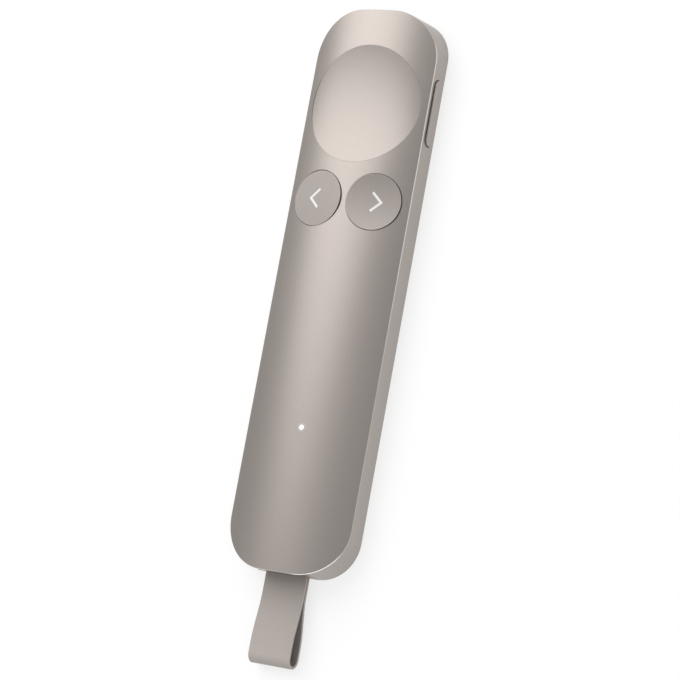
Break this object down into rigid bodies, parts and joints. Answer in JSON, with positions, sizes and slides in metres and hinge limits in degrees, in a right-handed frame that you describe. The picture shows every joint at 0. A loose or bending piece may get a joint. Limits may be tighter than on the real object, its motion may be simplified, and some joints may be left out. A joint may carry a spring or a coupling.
{
  "type": "wireless presentation clicker",
  "caption": "Slim crowned metal presentation clicker with a large dished button, round paging buttons, a pill side button and a docked receiver on a strap loop.",
  "frame": {"origin": "middle of the flat back of the casing", "axes": "+X to the right seen from the front, +Y along the clicker towards the dished button, +Z out of the crowned front"},
  "size_m": [0.0304, 0.1458, 0.0092],
  "materials": {
    "casing_metal": "satin anodised, warm grey",
    "button_metal": "fine matt, warm grey",
    "strap_soft": "matt, warm grey",
    "dark_plastic": "matt black",
    "adhesive": "matt black",
    "circuit_board": "green solder resist",
    "chip_black": "matt black",
    "steel": "fine brushed",
    "foil": "satin foil",
    "light_pipe": "frosted clear, lit from below"
  },
  "bodies": {
    "casing": {"upper_casing": "casing_metal", "back_cover": "casing_metal", "cover_tape": "adhesive", "inner_frame": "dark_plastic", "frame_screws": "steel", "main_board": "circuit_board", "processor_chip": "chip_black", "motion_sensor": "chip_black", "radio_shield": "foil", "antenna": "chip_black", "battery": "foil", "battery_protection": "circuit_board", "vibration_motor": "steel", "pointer_switch": "chip_black", "previous_switch": "chip_black", "next_switch": "chip_black", "side_switch": "chip_black", "status_light_pipe": "light_pipe", "status_led": "light_pipe", "port_shell": "steel", "port_tongue": "dark_plastic", "receiver_dock": "dark_plastic"},
    "pointer": {"pointer_button": "button_metal"},
    "previous": {"previous_button": "button_metal"},
    "next": {"next_button": "button_metal"},
    "side": {"side_button": "button_metal"},
    "receiver": {"receiver_case": "dark_plastic", "receiver_front": "dark_plastic", "receiver_board": "circuit_board", "receiver_chip": "chip_black", "receiver_plug": "steel", "receiver_contacts": "dark_plastic", "strap": "strap_soft", "strap_pin": "steel"}
  },
  "joints": [
    {"name": "pointer_press", "type": "slide", "parent": "casing", "child": "pointer", "axis": [0, 0, -1], "range_m": [0, 0.0003], "stiffness_N_per_m": 2000},
    {"name": "previous_press", "type": "slide", "parent": "casing", "child": "previous", "axis": [0.1842, 0, -0.9829], "range_m": [0, 0.00035], "stiffness_N_per_m": 2000},
    {"name": "next_press", "type": "slide", "parent": "casing", "child": "next", "axis": [-0.1842, 0, -0.9829], "range_m": [0, 0.00035], "stiffness_N_per_m": 2000},
    {"name": "side_press", "type": "slide", "parent": "casing", "child": "side", "axis": [-1, 0, 0], "range_m": [0, 0.0003], "stiffness_N_per_m": 2000},
    {"name": "receiver_pull", "type": "slide", "parent": "casing", "child": "receiver", "axis": [0, -1, 0], "range_m": [0, 0.03]}
  ]
}
